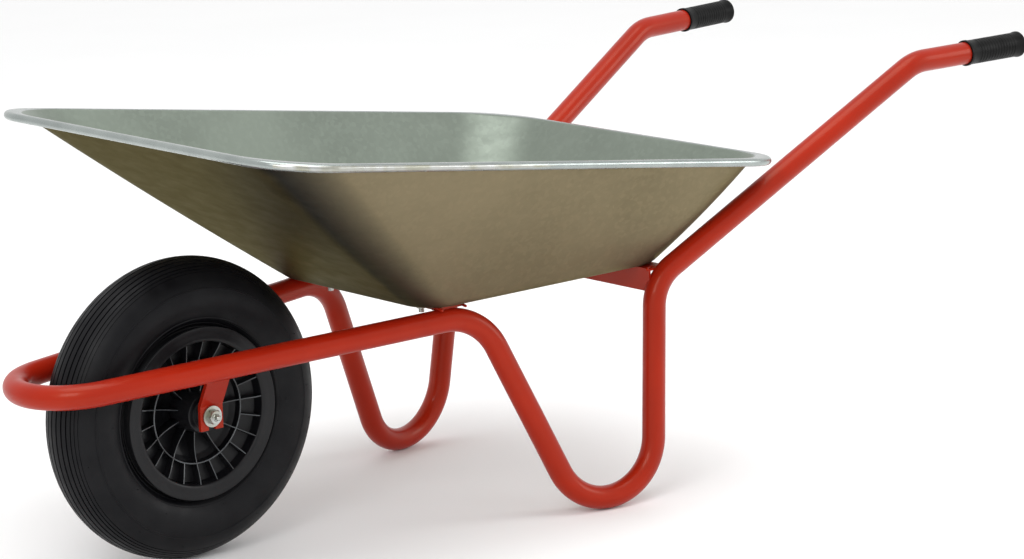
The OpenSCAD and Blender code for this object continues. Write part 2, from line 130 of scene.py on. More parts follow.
def turned(profile, place, steps, closed=True):
    """Turns a section of (radius, along) points about a line. Place maps (x, y, along) to the frame."""
    verts = []
    for radius, along in profile:
        for i in range(steps):
            angle = 2 * pi * i / steps
            verts.append(place(radius * cos(angle), radius * sin(angle), along))
    faces = grid_faces(len(profile), steps, wrap_rows=closed)
    if not closed:
        last = (len(profile) - 1) * steps
        faces.append(list(range(steps)))
        faces.append([last + i for i in range(steps)])
    return verts, faces


def on_axle(x, y, along):
    """Round the axle: x points back, y points up, and along runs to the left."""
    return AXLE + Vector((-x, along, y))


def on_axle_right(x, y, along):
    return AXLE + Vector((-x, -along, y))


def on_line(origin, direction):
    """A placing for turned pieces that stand on a line."""
    z = Vector(direction).normalized()
    x = Vector((0, 0, 1)).cross(z)
    x = x.normalized() if x.length > 0.01 else Vector((1, 0, 0))
    y = z.cross(x)

    def place(a, b, along):
        return Vector(origin) + x * a + y * b + z * along
    return place


def fillet(corner_points, radius, steps=5):
    """Rounds every inner corner of an open section of (radius, along) points."""
    out = [corner_points[0]]
    for a, b, c in zip(corner_points, corner_points[1:], corner_points[2:]):
        a, b, c = Vector(a), Vector(b), Vector(c)
        reach = min(radius, (a - b).length * 0.45, (c - b).length * 0.45)
        start = b + (a - b).normalized() * reach
        end = b + (c - b).normalized() * reach
        for i in range(steps + 1):
            t = i / steps
            out.append(tuple(start * (1 - t) ** 2 + b * 2 * t * (1 - t) + end * t ** 2))
    out.append(corner_points[-1])
    return out


# ---------------------------------------------------------------- materials
class Shader:
    """A Principled material with short calls for its procedural nodes."""

    def __init__(self, name, color, roughness, metallic=0.0):
        self.material = bpy.data.materials.new(name)
        self.material.use_nodes = True
        self.tree = self.material.node_tree
        self.bsdf = self.tree.nodes["Principled BSDF"]
        self.bsdf.inputs["Base Color"].default_value = (*color, 1)
        self.bsdf.inputs["Roughness"].default_value = roughness
        self.bsdf.inputs["Metallic"].default_value = metallic
        self.color = color
        self.height = None

    def node(self, kind, **values):
        made = self.tree.nodes.new(kind)
        for key, value in values.items():
            setattr(made, key, value)
        return made

    def link(self, a, b):
        self.tree.links.new(a, b)

    def coordinates(self, scale):
        place = self.node("ShaderNodeTexCoord")
        mapping = self.node("ShaderNodeMapping")
        mapping.inputs["Scale"].default_value = scale
        self.link(place.outputs["Object"], mapping.inputs["Vector"])
        return mapping.outputs["Vector"]

    def noise(self, scale, detail=4, stretch=(1, 1, 1), rough=0.55):
        texture = self.node("ShaderNodeTexNoise")
        texture.inputs["Scale"].default_value = scale
        texture.inputs["Detail"].default_value = detail
        texture.inputs["Roughness"].default_value = rough
        self.link(self.coordinates(stretch), texture.inputs["Vector"])
        return texture.outputs["Fac"]

    def cells(self, scale):
        texture = self.node("ShaderNodeTexVoronoi")
        texture.inputs["Scale"].default_value = scale
        self.link(self.coordinates((1, 1, 1)), texture.inputs["Vector"])
        return texture.outputs["Color"]

    def facing(self, direction):
        """How far the surface's outward normal points along a direction, from -1 to 1."""
        geometry = self.node("ShaderNodeNewGeometry")
        product = self.node("ShaderNodeVectorMath", operation="DOT_PRODUCT")
        product.inputs[1].default_value = direction
        self.link(geometry.outputs["Normal"], product.inputs[0])
        return product.outputs["Value"]

    def spread(self, value, low, high, from_low=0.3, from_high=0.7):
        """Maps a value to the range from low to high."""
        ranged = self.node("ShaderNodeMapRange")
        ranged.inputs["From Min"].default_value = from_low
        ranged.inputs["From Max"].default_value = from_high
        ranged.inputs["To Min"].default_value = low
        ranged.inputs["To Max"].default_value = high
        self.link(value, ranged.inputs["Value"])
        return ranged.outputs["Result"]

    def tint(self, value, other, from_low=0.35, from_high=0.65):
        """Mixes the colour towards another one where the value is high."""
        source = self.bsdf.inputs["Base Color"]
        mix = self.node("ShaderNodeMix", data_type="RGBA")
        if source.links:
            self.link(source.links[0].from_socket, mix.inputs["A"])
        else:
            mix.inputs["A"].default_value = (*self.color, 1)
        mix.inputs["B"].default_value = (*other, 1)
        self.link(self.spread(value, 0, 1, from_low, from_high), mix.inputs["Factor"])
        self.link(mix.outputs["Result"], source)

    def rough(self, value, low, high):
        self.link(self.spread(value, low, high), self.bsdf.inputs["Roughness"])

    def bump(self, value, distance, strength=1.0):
        bump = self.node("ShaderNodeBump")
        bump.inputs["Distance"].default_value = distance
        bump.inputs["Strength"].default_value = strength
        self.link(value, bump.inputs["Height"])
        if self.height:
            self.link(self.height, bump.inputs["Normal"])
        self.height = bump.outputs["Normal"]
        self.link(self.height, self.bsdf.inputs["Normal"])

    def coat(self, weight, roughness):
        self.bsdf.inputs["Coat Weight"].default_value = weight
        self.bsdf.inputs["Coat Roughness"].default_value = roughness


def red_paint():
    paint = Shader("red_paint", (0.335, 0.012, 0.003), 0.34)
    paint.tint(paint.noise(9, 3), (0.29, 0.010, 0.003))
    paint.rough(paint.noise(30, 4), 0.29, 0.42)
    paint.bump(paint.noise(420, 2), 0.00012, 0.3)
    paint.bsdf.inputs["Specular IOR Level"].default_value = 0.25
    paint.bsdf.inputs["Specular Tint"].default_value = (1.0, 0.7, 0.4, 1)
    paint.coat(0.12, 0.08)
    return paint.material


def sheet_steel(name, color, dark, roughness, metallic):
    steel = Shader(name, color, roughness, metallic)
    steel.tint(steel.noise(5.5, 3, (1.0, 1.0, 0.6)), dark)
    steel.tint(steel.cells(160), tuple(c * 1.12 for c in color), 0.4, 1.6)
    steel.rough(steel.noise(24, 5, (1.0, 1.0, 3.0)), roughness - 0.05, roughness + 0.07)
    steel.bump(steel.noise(60, 3, (0.25, 0.25, 5.0)), 0.00010, 0.2)
    steel.bump(steel.noise(5, 2), 0.0012, 0.25)
    return steel


def tray_inside():
    return sheet_steel("tray_inside", (0.205, 0.238, 0.200), (0.172, 0.200, 0.168), 0.42, 0.7).material


def tray_outside():
    """Beige on the sides; painted shade makes the front corners nearly black and a painted reflection
    makes the front wall olive, both set by how far the surface faces forward.
    """
    steel = sheet_steel("tray_outside", (0.225, 0.188, 0.118), (0.190, 0.160, 0.100), 0.44, 0.85)
    steel.bsdf.inputs["Specular IOR Level"].default_value = 0.1
    steel.bsdf.inputs["Specular Tint"].default_value = (0.42, 0.40, 0.30, 1)
    forward = steel.facing((1, 0, 0))
    # painted shade: the slanting front corners, partly facing forward, turn nearly black
    steel.tint(forward, (0.034, 0.037, 0.037), 0.22, 0.58)
    # painted reflection: the front wall, facing straight forward, turns dark olive
    steel.tint(forward, (0.092, 0.078, 0.042), 0.55, 0.585)
    return steel.material


def rolled_edge():
    edge = Shader("rolled_edge", (0.36, 0.395, 0.38), 0.26, 0.95)
    edge.rough(edge.noise(60, 4), 0.20, 0.34)
    edge.tint(edge.noise(14, 3), (0.29, 0.32, 0.31))
    edge.bump(edge.noise(60, 2), 0.0001, 0.2)
    return edge.material


def zinc():
    plate = Shader("zinc", (0.45, 0.46, 0.45), 0.3, 1.0)
    plate.tint(plate.noise(40, 2), (0.34, 0.34, 0.28))
    plate.rough(plate.noise(60, 2), 0.26, 0.36)
    plate.bump(plate.noise(500, 3), 0.00003, 0.2)
    return plate.material


def tyre_rubber():
    rubber = Shader("tyre_rubber", (0.002, 0.002, 0.003), 0.44)
    rubber.tint(rubber.noise(26, 5), (0.005, 0.005, 0.006))
    rubber.rough(rubber.noise(40, 4), 0.36, 0.54)
    rubber.bump(rubber.noise(700, 3), 0.0002, 0.4)
    rubber.bsdf.inputs["Specular IOR Level"].default_value = 0.16
    return rubber.material


def moulded_plastic():
    plastic = Shader("rim_plastic", (0.003, 0.003, 0.004), 0.36)
    plastic.tint(plastic.noise(30, 4), (0.006, 0.006, 0.007))
    plastic.rough(plastic.noise(60, 4), 0.28, 0.44)
    plastic.bump(plastic.noise(900, 3), 0.00012, 0.3)
    plastic.bsdf.inputs["Specular IOR Level"].default_value = 0.25
    return plastic.material


# A lighter, glossier copy of the rim's black plastic for the ribs' top edges and the collar's top: a
# painted highlight where the edges catch the light.
def painted_highlight_edge():
    edge = Shader("rim_edge_painted_highlight", (0.06, 0.066, 0.072), 0.26)
    edge.tint(edge.noise(40, 3), (0.012, 0.013, 0.015))
    edge.bump(edge.noise(600, 3), 0.0001, 0.3)
    return edge.material


def grip_plastic():
    grip = Shader("grip_plastic", (0.002, 0.002, 0.002), 0.42)
    grip.tint(grip.noise(60, 4), (0.006, 0.006, 0.006))
    grip.rough(grip.noise(80, 4), 0.34, 0.50)
    grip.bump(grip.noise(1100, 3), 0.0002, 0.5)
    grip.bsdf.inputs["Specular IOR Level"].default_value = 0.12
    return grip.material


def black_nylon():
    nylon = Shader("nylon", (0.012, 0.012, 0.013), 0.45)
    nylon.tint(nylon.noise(90, 4), (0.020, 0.020, 0.021))
    nylon.bump(nylon.noise(500, 3), 0.0001, 0.3)
    nylon.bsdf.inputs["Specular IOR Level"].default_value = 0.3
    return nylon.material


def floor_paint():
    floor = Shader("floor", (0.93, 0.93, 0.93), 0.7)
    floor.tint(floor.noise(2, 2), (0.92, 0.92, 0.92))
    floor.bsdf.inputs["Specular IOR Level"].default_value = 0.1
    return floor.material


RED = red_paint()
ZINC = zinc()
RUBBER = tyre_rubber()
PLASTIC = moulded_plastic()
RIM_PAINTED_HIGHLIGHT = painted_highlight_edge()
GRIP = grip_plastic()
NYLON = black_nylon()

CAD_MATERIALS = {
    "front_cross_strap": RED,
    "rear_cross_member": RED,
    "axle_bracket_left": RED,
    "axle_bracket_right": RED,
    "tray_rim_wire": ZINC,
    "tray_bolts": ZINC,
    "tray_washers": ZINC,
    "tray_nuts": ZINC,
    "axle_sleeve": ZINC,
    "axle_washers": ZINC,
    "axle_spacer_left": NYLON,
    "axle_spacer_right": NYLON,
    "hub_bush_left": NYLON,
    "hub_bush_right": NYLON,
    "inner_tube": RUBBER,
}


def paint_cad():
    for name, material in CAD_MATERIALS.items():
        node = frame["nodes"][name]
        for slot in node.material_slots:
            slot.material = material
        if not node.material_slots:
            node.data.materials.append(material)


# ---------------------------------------------------------------- the tray
SHEET = 1.2 * MM
FOLD_R = 25 * MM
FLOOR_TILT = radians(1.8)
FLOOR_FRONT = (277 * MM, 168 * MM)
FLOOR_REAR = (684 * MM, 200 * MM)
FLOOR_CORNER_R = 40 * MM
RIM_REAR_HALF = 313.5 * MM
EDGE_CORNER_R = 80 * MM
WALL_CORNER_R = 105 * MM
FLANGE_W = 6 * MM
WIRE_R = 4 * MM
BEAD_R = 5.5 * MM
BEAD_TURN = radians(300)
LIP = 5 * MM
WALL_BULGE = 3.0 * MM
CORNER_STEPS = 16
SIDE_STEPS = 12
FOLD_STEPS = 7
WALL_STEPS = 10
LIP_STEPS = 4
BEAD_STEPS = 16
FLANGE_ROWS = LIP_STEPS


def rim_frame():
    """The rim's front and rear as (x, height), and its half width, from the wire inside its edge."""
    low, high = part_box("tray_rim_wire")
    front = (high[0] - WIRE_R, high[2] - WIRE_R)
    rear = (low[0] + WIRE_R, low[2] + WIRE_R)
    return front, rear, high[1] - WIRE_R


def floor_height(x):
    """Height of the tray's underside over a place along X."""
    low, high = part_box("front_cross_strap")
    middle = (low[0] + high[0]) / 2
    top = high[2] - (high[0] - low[0]) / 2 * sin(FLOOR_TILT)
    return top + (middle - x) * tan(FLOOR_TILT)


def rounded_outline(corners, radius):
    """Points with outward normals: for each corner an arc, then a straight side."""
    corners = [Vector(c) for c in corners]
    count = len(corners)
    arcs = []
    for i, v in enumerate(corners):
        to_last = (corners[i - 1] - v).normalized()
        to_next = (corners[(i + 1) % count] - v).normalized()
        middle = (to_last + to_next).normalized()
        half = to_last.angle(to_next) / 2
        centre = v + middle * radius / sin(half)
        start = v + to_last * radius / tan(half) - centre
        end = v + to_next * radius / tan(half) - centre
        turn = atan2(start.x * end.y - start.y * end.x, start.dot(end))
        base = atan2(start.y, start.x)
        arc = []
        for k in range(CORNER_STEPS + 1):
            angle = base + turn * k / CORNER_STEPS
            normal = Vector((cos(angle), sin(angle)))
            arc.append((centre + normal * radius, normal))
        arcs.append(arc)
    out = []
    for i, arc in enumerate(arcs):
        out += arc
        start, normal_a = arc[-1]
        end, normal_b = arcs[(i + 1) % count][0]
        for k in range(1, SIDE_STEPS):
            t = k / SIDE_STEPS
            out.append((start.lerp(end, t), normal_a.lerp(normal_b, t).normalized()))
    return out


def tray_outlines():
    """The fold's centre line over the floor, the walls' top line and the rolled edge's centre line."""
    front, rear, half = rim_frame()
    front_x = AXLE.x - FLOOR_FRONT[0]
    rear_x = AXLE.x - FLOOR_REAR[0]
    front_rise = front[1] - floor_height(front_x)
    rear_rise = rear[1] - floor_height(rear_x)
    fold_front = front_x - FOLD_R * tan(atan2(front[0] - front_x, front_rise) / 2)
    fold_rear = rear_x + FOLD_R * tan(atan2(rear_x - rear[0], rear_rise) / 2)
    fold_front_y = FLOOR_FRONT[1] - FOLD_R * tan(atan2(half - FLOOR_FRONT[1], front_rise) / 2)
    fold_rear_y = FLOOR_REAR[1] - FOLD_R * tan(atan2(RIM_REAR_HALF - FLOOR_REAR[1], rear_rise) / 2)
    floor = [
        (fold_front, fold_front_y),
        (fold_rear, fold_rear_y),
        (fold_rear, -fold_rear_y),
        (fold_front, -fold_front_y),
    ]
    edge_rear_half = RIM_REAR_HALF - BEAD_R
    edge = [
        (front[0], half),
        (rear[0], edge_rear_half),
        (rear[0], -edge_rear_half),
        (front[0], -half),
    ]
    wall = [
        (front[0] - FLANGE_W, half - FLANGE_W),
        (rear[0] + FLANGE_W, edge_rear_half - FLANGE_W),
        (rear[0] + FLANGE_W, -edge_rear_half + FLANGE_W),
        (front[0] - FLANGE_W, -half + FLANGE_W),
    ]
    return (
        rounded_outline(floor, FLOOR_CORNER_R),
        rounded_outline(wall, WALL_CORNER_R),
        rounded_outline(edge, EDGE_CORNER_R),
    )


def rim_height(x):
    front, rear, _ = rim_frame()
    return rear[1] + (front[1] - rear[1]) * (x - rear[0]) / (front[0] - rear[0])


def tray_section(floor_point, wall_point, edge_point):
    """One line of points up the inside of the tray, over the flange and round the rolled edge."""
    (place, normal), (top, _), (edge, edge_normal) = floor_point, wall_point, edge_point
    out = Vector((normal.x, normal.y, 0))
    up = Vector((0, 0, 1))
    radius = FOLD_R - SHEET
    centre = Vector((place.x, place.y, floor_height(place.x) + FOLD_R))
    lip = Vector((top.x, top.y, rim_height(top.x) + BEAD_R))
    reach = lip - centre
    across = reach.dot(out)
    rise = reach.dot(up)
    wall_angle = atan2(rise, across) + asin(radius / hypot(across, rise))
    points = []
    for i in range(FOLD_STEPS + 1):
        angle = wall_angle * i / FOLD_STEPS
        points.append(centre + out * radius * sin(angle) - up * radius * cos(angle))
    foot = points[-1]
    along = (lip - foot).normalized()
    swell = (out * sin(wall_angle) - up * cos(wall_angle)) * WALL_BULGE
    knee = lip - along * LIP
    for i in range(1, WALL_STEPS + 1):
        t = i / WALL_STEPS
        points.append(foot.lerp(knee, t) + swell * 4 * t * (1 - t))
    edge_centre = Vector((edge.x, edge.y, rim_height(edge.x)))
    crest = edge_centre + up * BEAD_R
    flat = (crest - lip).normalized()
    flat_end = lip + flat * min(LIP, (crest - lip).length * 0.6)
    for i in range(1, LIP_STEPS + 1):
        t = i / LIP_STEPS
        points.append(knee * (1 - t) ** 2 + lip * 2 * t * (1 - t) + flat_end * t ** 2)
    points.append(flat_end.lerp(crest, 0.5))
    bead_start = len(points)
    outward = Vector((edge_normal.x, edge_normal.y, 0))
    for i in range(BEAD_STEPS + 1):
        angle = BEAD_TURN * i / BEAD_STEPS
        points.append(edge_centre + up * BEAD_R * cos(angle) + outward * BEAD_R * sin(angle))
    return points, bead_start


def make_tray():
    floor, wall, edge = tray_outlines()
    sections = [tray_section(*line) for line in zip(floor, wall, edge)]
    flange_start = sections[0][1] - FLANGE_ROWS
    count = len(sections)
    rows = len(sections[0][0])
    verts = [sections[j][0][i] for i in range(rows) for j in range(count)]
    faces = grid_faces(rows, count)
    slots = [0 if i < flange_start else 1 for i in range(rows - 1) for _ in range(count)]
    faces.append(list(range(count)))
    slots.append(0)
    materials = [tray_inside(), rolled_edge(), tray_outside(), rolled_edge()]
    tray = add_object("tray_sheet", verts, faces, materials, slots)
    normal_up = tray.data.polygons[len(faces) - 1].normal.z > 0
    shell = tray.modifiers.new("sheet", "SOLIDIFY")
    shell.thickness = SHEET
    shell.offset = -1 if normal_up else 1
    shell.material_offset = 2
    shell.material_offset_rim = 2
    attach(tray, "frame")
    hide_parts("tray")


# ---------------------------------------------------------------- the tyre
SECTION_MID = (TYRE_R + SEAT_R) / 2
SECTION_R = (TYRE_R - SEAT_R) / 2
TYRE_STEPS = 160
BEAD_ANGLE = -52.0
# each: angle from the side in degrees, half width in degrees, depth in metres (minus for a ridge)
TREAD_GROOVES = [
    (90.0, 1.5, 0.0030),
    (79.5, 1.3, 0.0028),
    (70.0, 1.2, 0.0025),
    (61.5, 1.1, 0.0021),
    (54.0, 0.9, 0.0016),
    (48.0, 0.8, 0.0012),
    (42.5, 0.7, 0.0009),
]
SIDE_MARKS = [
    (16.0, 1.4, -0.0010),
    (-33.0, 2.2, -0.0012),
    (-42.0, 1.2, 0.0010),
]
# places across a groove, in half widths, with the share of its depth there
GROOVE_FORM = ((-1, 0), (-0.55, 1), (0.55, 1), (1, 0))
# degrees between points where the section has no groove or ridge
SAMPLE = 1.75
SIDE_RIDGE_TOP = 0.8 * MM
TYRE_WALL = 6 * MM
TOE_W = 11 * MM
# degrees round the section, for the inner wall and for the nibs
INNER_LOW = -48
INNER_TURN = 276
NIB_LOW = -24
NIB_TURN = 58
INNER_STEPS = 24
NIB_COUNT = 90
NIB_PLACES = 23
NIB_R = 0.45 * MM


def tyre_depths():
    """Angles round the section with the depth of the groove there, or minus the height of a ridge."""
    marks = {}
    for angle, half, depth in TREAD_GROOVES + SIDE_MARKS:
        for shown in {angle, 180.0 - angle}:
            for step, part in GROOVE_FORM:
                marks[round(shown + step * half, 3)] = depth * part
    angle = BEAD_ANGLE
    while angle <= 180.0 - BEAD_ANGLE:
        if all(abs(angle - known) > SAMPLE for known in marks):
            marks[round(angle, 3)] = 0
        angle += SAMPLE
    return sorted(marks.items())


def tyre_profile():
    outer = []
    for angle, depth in tyre_depths():
        a = radians(angle)
        outer.append((
            SECTION_MID + (SECTION_R - depth) * sin(a),
            (TYRE_HALF - max(depth, -SIDE_RIDGE_TOP)) * cos(a),
        ))
    inner = []
    for i in range(INNER_STEPS + 1):
        a = radians(INNER_LOW + INNER_TURN * i / INNER_STEPS)
        inner.append((SECTION_MID + (SECTION_R - TYRE_WALL) * sin(a), (TYRE_HALF - TYRE_WALL) * cos(a)))
    toe = [(SEAT_R, SEAT_Y - TOE_W), (SEAT_R, SEAT_Y)]
    return toe + outer + [(r, -y) for r, y in reversed(toe)] + inner[::-1]


def add_nib(tyre, number):
    """One of the little rubber hairs that the mould's vents leave on the side walls."""
    golden = pi * (3 - sqrt(5))
    turn = golden * number
    angle = radians(NIB_LOW + NIB_TURN * ((number * 7) % NIB_PLACES) / (NIB_PLACES - 1))
    side = 1 if number % 2 else -1
    radius = SECTION_MID + SECTION_R * sin(angle)
    base = on_axle(radius * cos(turn), radius * sin(turn), side * TYRE_HALF * cos(angle))
    radial = on_axle(cos(turn), sin(turn), 0) - AXLE
    out = radial * sin(angle) + Vector((0, side, 0)) * cos(angle)
    reach = min(2.0 * MM, max(0.7 * MM, (TYRE_HALF - abs(base.y)) * 0.8))
    profile = [(NIB_R, -0.3 * MM), (NIB_R, reach * 0.8), (NIB_R * 0.5, reach)]
    tyre.add(*turned(profile, on_line(base, out), 6, closed=False))


def make_tyre():
    tyre = Shape()
    tyre.add(*turned(tyre_profile(), on_axle, TYRE_STEPS))
    for number in range(NIB_COUNT):
        add_nib(tyre, number)
    piece = tyre.build("tyre_casing", [RUBBER])
    sharpen(piece, 28)
    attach(piece, "wheel")
    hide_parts("tyre")


# ---------------------------------------------------------------- the wheel's rim
RIB_COUNT = 22
RIB_T = 2.0 * MM
RIB_DRAFT = 0.62
RIB_FOOT = 1.25
RIM_STEPS = 132
COLLAR_R = 69.5 * MM
COLLAR_T = 3.0 * MM
WELL_R = 86 * MM


def rib(shape, angle, outline, place):
    """A thin rib that stands on a radius, from (radius, along) points that start with its top edge."""
    count = len(outline)
    top_count = count // 2
    verts = []
    for side in (-1, 1):
        for i, (radius, along) in enumerate(outline):
            thick = RIB_T / 2 * (RIB_DRAFT if i < top_count else RIB_FOOT) * side
            x = radius * cos(angle) - thick * sin(angle)
            y = radius * sin(angle) + thick * cos(angle)
            verts.append(place(x, y, along))
    shape.add(verts, [list(range(count)), [count + i for i in reversed(range(count))]])
    for i in range(count):
        j = (i + 1) % count
        corners = [verts[i], verts[j], verts[count + j], verts[count + i]]
        # slot 1, the rib's top edge, takes the rim's painted highlight material
        shape.add(corners, [[0, 1, 2, 3]], 1 if i < top_count - 1 else 0)


def long_rib():
    """The outline of a rib that dips in a curve from the rim down to the hub."""
    steps = 9
    top = []
    for i in range(steps):
        t = i / (steps - 1)
        dip = sin(pi / 2 * min(1, t * 1.25)) ** 1.4
        top.append((95 * MM - 68 * MM * t, 46 * MM - 17 * MM * dip))
    low = [(r, 3 * MM if r < 82 * MM else 25 * MM) for r, _ in reversed(top)]
    return top + low


def short_rib():
    """The outline of a rib between the rim and the collar."""
    inner = COLLAR_R - 1 * MM
    top = [(95 * MM, 45 * MM), (86 * MM, 42 * MM), (78 * MM, 39 * MM), (inner, 35.5 * MM)]
    low = [(inner, 22 * MM), (78 * MM, 24 * MM), (86 * MM, 26 * MM), (95 * MM, 30 * MM)]
    return top + low


def rim_barrel_profile():
    """The rim's closed section: two flanges, two bead seats and the well between them."""
    half_out = fillet([
        (WELL_R, 0),
        (WELL_R, 20 * MM),
        (SEAT_R, 30 * MM),
        (SEAT_R, SEAT_Y),
        (FLANGE_R, 46 * MM),
        (FLANGE_R, 49 * MM),
        (106 * MM, 48.4 * MM),
        (98 * MM, 48.6 * MM),
        (94.5 * MM, 46.5 * MM),
        (94 * MM, 32 * MM),
        (82 * MM, 18 * MM),
        (82 * MM, 0),
    ], 2.0 * MM, 4)
    mirrored = [(r, -y) for r, y in reversed(half_out)]
    return half_out[:-1] + mirrored[:-1]


def dish_profile():
    """The hollow between the collar and the hub."""
    return fillet([
        (COLLAR_R - COLLAR_T, 26 * MM),
        (60 * MM, 20 * MM),
        (40 * MM, 12 * MM),
        (HUB_R, 10 * MM),
        (HUB_R, 2 * MM),
        (COLLAR_R - COLLAR_T, 2 * MM),
    ], 1.5 * MM, 3)


def collar_profile():
    """The ring under the ribs. Its first and last points are its foot, and the rest its rounded top."""
    top = 36 * MM
    return [
        (COLLAR_R, 3 * MM),
        (COLLAR_R - 0.5 * MM, top - 0.4 * MM),
        (COLLAR_R - 0.9 * MM, top),
        (COLLAR_R - COLLAR_T + 0.9 * MM, top),
        (COLLAR_R - COLLAR_T + 0.5 * MM, top - 0.4 * MM),
        (COLLAR_R - COLLAR_T, 3 * MM),
    ]


def hub_profile():
    return fillet([
        (HUB_R + 4 * MM, 0),
        (HUB_R + 1.5 * MM, 30 * MM),
        (HUB_R, HUB_HALF),
        (BUSH_R, HUB_HALF),
        (BUSH_R, 0),
    ], 1.6 * MM, 4)


def add_rim_side(rim, place):
    """What the rim has on each side of its web."""
    rim.add(*turned(dish_profile(), place, RIM_STEPS))
    floor = [(93 * MM, 31 * MM), (COLLAR_R, 25 * MM), (COLLAR_R, 20 * MM), (88 * MM, 24 * MM)]
    rim.add(*turned(floor, place, RIM_STEPS))
    start = len(rim.slots)
    rim.add(*turned(collar_profile(), place, RIM_STEPS))
    # the collar's rounded top takes the rim's painted highlight material
    for k in range(RIM_STEPS, 4 * RIM_STEPS):
        rim.slots[start + k] = 1
    rim.add(*turned(hub_profile(), place, 72))
    for i in range(RIB_COUNT):
        angle = 2 * pi * (i + 0.25) / RIB_COUNT
        rib(rim, angle, short_rib() if i % 2 else long_rib(), place)


def make_rim():
    rim = Shape()
    rim.add(*turned(rim_barrel_profile(), on_axle, RIM_STEPS))
    web_inner = HUB_R - 2 * MM
    web = [(83 * MM, 3 * MM), (83 * MM, -3 * MM), (web_inner, -3 * MM), (web_inner, 3 * MM)]
    rim.add(*turned(web, on_axle, RIM_STEPS))
    for place in (on_axle, on_axle_right):
        add_rim_side(rim, place)
    piece = rim.build("rim_moulding", [PLASTIC, RIM_PAINTED_HIGHLIGHT])
    sharpen(piece, 32)
    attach(piece, "wheel")
    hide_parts("rim", "rim_centre", "wheel_hub")


VALVE_L = 24 * MM
CAP_L = 10 * MM
TIP_R = 0.5 * MM


def box_middle(node):
    low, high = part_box(node)
    return (Vector(low) + Vector(high)) / 2


def make_valve():
    base = box_middle("valve_stem")
    tip = box_middle("valve_cap")
    outward = AXLE - base
    outward.y = 0
    outward.normalize()
    stem = fillet([
        (TIP_R, 0),
        (4.3 * MM, 0),
        (4.3 * MM, 9 * MM),
        (3.3 * MM, 14 * MM),
        (3.1 * MM, VALVE_L),
        (TIP_R, VALVE_L),
    ], 0.8 * MM, 3)
    place = on_line(base - outward * VALVE_L / 2, outward)
    verts, faces = turned(stem, place, 32, closed=False)
    piece = add_object("valve_rubber", verts, faces, [RUBBER])
    sharpen(piece)
    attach(piece, "wheel")
    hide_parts("valve_stem")
    cap = fillet([
        (TIP_R, 0),
        (4.6 * MM, 0),
        (4.6 * MM, CAP_L * 0.7),
        (4.1 * MM, CAP_L),
        (TIP_R, CAP_L),
    ], 0.7 * MM, 3)
    place = on_line(tip - outward * CAP_L / 2, outward)
    verts, faces = turned(cap, place, 48, closed=False)
    piece = add_object("valve_dust_cap", verts, faces, [PLASTIC])
    sharpen(piece)
    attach(piece, "wheel")
    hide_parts("valve_cap")


# ---------------------------------------------------------------- bolts
def hex_radius(flats, angle):
    """The distance from a hexagon's middle to its side, at an angle."""
    return flats / 2 / cos((angle % (pi / 3)) - pi / 6)


# a hair over 1, so that the middle of each flat isn't pushed in by the chamfer's limit
HEX_SLACK = 1.0001


def hexagon(place, flats, length, chamfer, bore=0.0):
    """A hexagon with its corners turned off at both ends. It is a ring if it has a bore."""
    around = 48
    corner = flats / sqrt(3)
    ends = ((0, flats / 2), (chamfer, corner), (length - chamfer, corner), (length, flats / 2))
    angles = [2 * pi * j / around for j in range(around)]
    verts = []
    for along, limit in ends:
        for angle in angles:
            radius = min(hex_radius(flats, angle), limit * HEX_SLACK)
            verts.append(place(radius * cos(angle), radius * sin(angle), along))
    if bore:
        verts += [place(bore * cos(a), bore * sin(a), along) for along in (length, 0) for a in angles]
        return verts, grid_faces(6, around, wrap_rows=True)
    faces = grid_faces(4, around)
    faces.append(list(range(around)))
    faces.append([3 * around + j for j in range(around)])
    return verts, faces


def thread_profile(radius, start, end, pitch):
    """The section of a threaded end, as rings of a V groove."""
    points = [(radius, start)]
    depth = 0.55 * pitch
    along = start
    while along + pitch < end - pitch / 2:
        points.append((radius, along + pitch * 0.15))
        points.append((radius - depth, along + pitch * 0.55))
        points.append((radius, along + pitch * 0.95))
        along += pitch
    points.append((radius, end - pitch * 0.6))
    points.append((radius - depth, end))
    return points


POINT_L = 6 * MM
POINT_R = 3.5 * MM
POINT_CHAMFER = 0.8 * MM
BOLT_R = 5 * MM
BOLT_FLATS = 17 * MM
HEX_CHAMFER = 1.3 * MM


def along_axle(start):
    """A placing for hexagons on the axle, from a place along it."""
    def place(a, b, along):
        return AXLE + Vector((a, start + along, b))
    return place


def make_axle_bolt():
    low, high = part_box("axle_bolt")
    end = high[1]
    nut_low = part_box("axle_nut")[0][1]
    nut_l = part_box("axle_nut")[1][1] - nut_low
    centre_r = 0.2 * MM
    profile = [(centre_r, -nut_low - 1 * MM), (BOLT_R, -nut_low - 1 * MM)]
    profile += thread_profile(BOLT_R, nut_low, end - POINT_L, 1.5 * MM)
    profile += [
        (POINT_R, end - POINT_L),
        (POINT_R, end - POINT_CHAMFER),
        (POINT_R - POINT_CHAMFER, end),
        (centre_r, end),
    ]
    bolt = Shape()
    bolt.add(*turned(profile, on_axle, 40, closed=False))
    bolt.add(*hexagon(along_axle(low[1]), BOLT_FLATS, nut_l, HEX_CHAMFER))
    piece = bolt.build("axle_bolt_turned", [ZINC])
    sharpen(piece, 25)
    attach(piece, "frame")
    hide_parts("axle_bolt")
    verts, faces = hexagon(along_axle(nut_low), BOLT_FLATS, nut_l, HEX_CHAMFER, bore=BOLT_R)
    piece = add_object("axle_nut_turned", verts, faces, [ZINC])
    sharpen(piece, 25)
    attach(piece, "frame")
    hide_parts("axle_nut")


